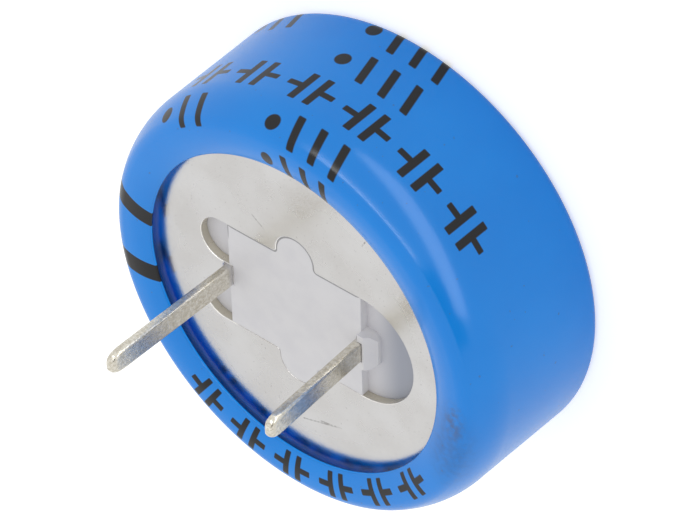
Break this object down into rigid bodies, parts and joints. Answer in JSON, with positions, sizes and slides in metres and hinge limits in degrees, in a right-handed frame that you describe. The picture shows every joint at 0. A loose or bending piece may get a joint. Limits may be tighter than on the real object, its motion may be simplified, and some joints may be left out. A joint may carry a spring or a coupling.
{
  "type": "supercapacitor",
  "caption": "Round radial supercapacitor: blue sleeved can with a recessed tinned end plate, a white insulator in its cut-out and flat blade pins for a circuit board.",
  "frame": {"origin": "middle of the closed end's resting face", "axes": "+Z along the can's axis towards the pins, X along the line of the pins with the negative pin at -X"},
  "size_m": [0.0285, 0.0284, 0.0197],
  "materials": {
    "sleeve_film": "shrunk glossy film",
    "can_steel": "plated, satin",
    "tinned_steel": "dull tin",
    "insulator_plastic": "moulded, translucent white",
    "liner_film": "plain film",
    "conductive_rubber": "matt",
    "gasket_rubber": "matt",
    "carbon_paste": "matt",
    "separator_film": "porous"
  },
  "bodies": {
    "root": {"heat_shrink_sleeve": "sleeve_film", "outer_can": "can_steel", "negative_terminal_plate": "tinned_steel", "positive_terminal_plate": "tinned_steel", "terminal_insulator": "insulator_plastic", "stack_liner": "liner_film", "cell_1_lower_collector": "conductive_rubber", "cell_1_gasket": "gasket_rubber", "cell_1_lower_electrode": "carbon_paste", "cell_1_separator": "separator_film", "cell_1_upper_electrode": "carbon_paste", "cell_1_upper_collector": "conductive_rubber", "cell_2_lower_collector": "conductive_rubber", "cell_2_gasket": "gasket_rubber", "cell_2_lower_electrode": "carbon_paste", "cell_2_separator": "separator_film", "cell_2_upper_electrode": "carbon_paste", "cell_2_upper_collector": "conductive_rubber", "cell_3_lower_collector": "conductive_rubber", "cell_3_gasket": "gasket_rubber", "cell_3_lower_electrode": "carbon_paste", "cell_3_separator": "separator_film", "cell_3_upper_electrode": "carbon_paste", "cell_3_upper_collector": "conductive_rubber", "cell_4_lower_collector": "conductive_rubber", "cell_4_gasket": "gasket_rubber", "cell_4_lower_electrode": "carbon_paste", "cell_4_separator": "separator_film", "cell_4_upper_electrode": "carbon_paste", "cell_4_upper_collector": "conductive_rubber", "cell_5_lower_collector": "conductive_rubber", "cell_5_gasket": "gasket_rubber", "cell_5_lower_electrode": "carbon_paste", "cell_5_separator": "separator_film", "cell_5_upper_electrode": "carbon_paste", "cell_5_upper_collector": "conductive_rubber", "cell_6_lower_collector": "conductive_rubber", "cell_6_gasket": "gasket_rubber", "cell_6_lower_electrode": "carbon_paste", "cell_6_separator": "separator_film", "cell_6_upper_electrode": "carbon_paste", "cell_6_upper_collector": "conductive_rubber"}
  },
  "joints": []
}
